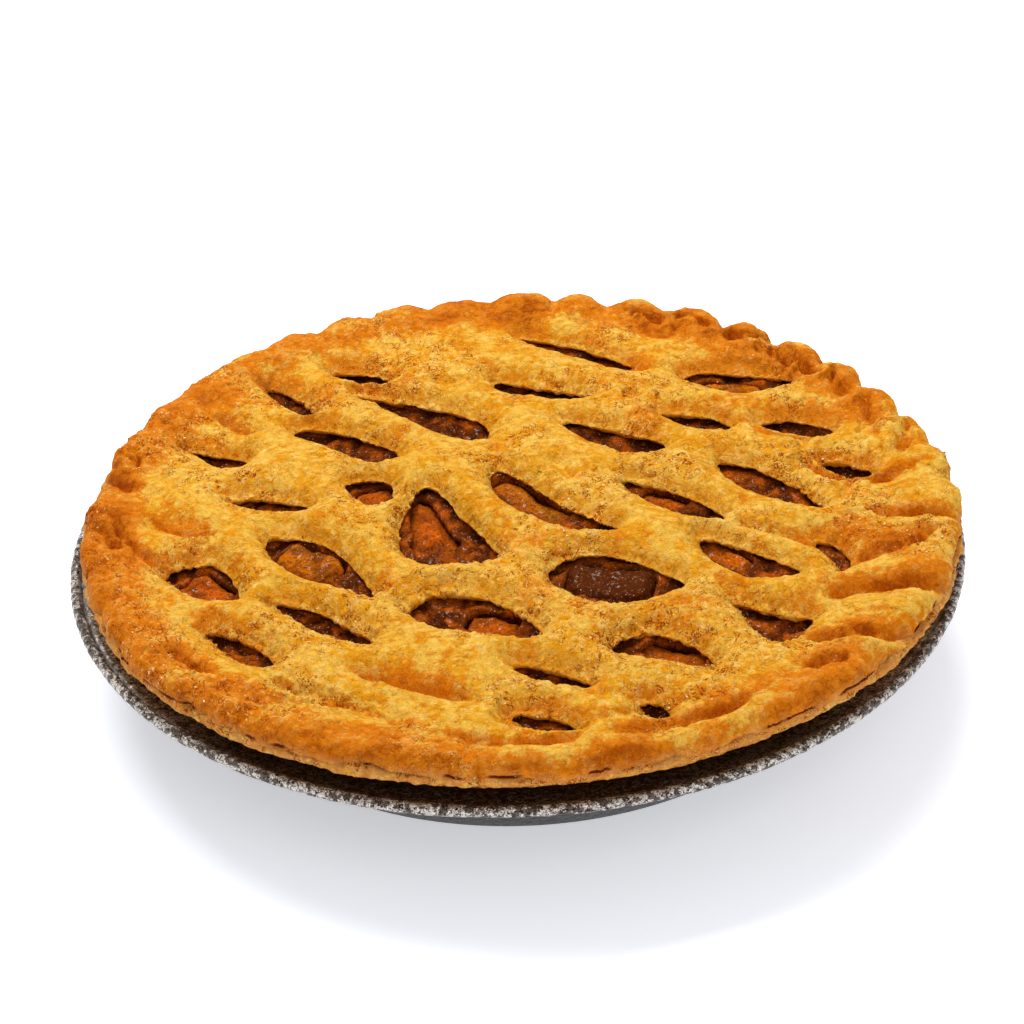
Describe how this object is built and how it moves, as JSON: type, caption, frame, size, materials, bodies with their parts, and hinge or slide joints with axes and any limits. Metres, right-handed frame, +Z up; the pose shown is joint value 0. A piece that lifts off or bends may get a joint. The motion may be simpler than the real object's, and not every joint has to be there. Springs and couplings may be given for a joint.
{
  "type": "lattice apple pie",
  "caption": "Whole baked apple pie with a slit lattice lid and a pinched fluted rim, in its rolled-rim foil tin.",
  "frame": {"origin": "middle of the tin's underside, on the surface it stands on", "axes": "+Z up; +Y away from the viewer of the reference view, +X to the viewer's right"},
  "size_m": [0.244, 0.244, 0.0486],
  "materials": {
    "foil": "thin pressed foil, satin, embossed flange",
    "bottom_crust": "baked pastry, dull, flaky",
    "lattice_lid": "golden baked pastry, dull with browned edges",
    "filling": "glossy spiced syrup",
    "apple": "cooked apple, wet"
  },
  "bodies": {
    "root": {"foil_tin": "foil", "bottom_crust": "bottom_crust", "lattice_lid": "lattice_lid", "filling": "filling", "apple_piece_01": "apple", "apple_piece_02": "apple", "apple_piece_03": "apple", "apple_piece_04": "apple", "apple_piece_05": "apple", "apple_piece_06": "apple", "apple_piece_07": "apple", "apple_piece_08": "apple", "apple_piece_09": "apple", "apple_piece_10": "apple", "apple_piece_11": "apple"}
  },
  "joints": []
}
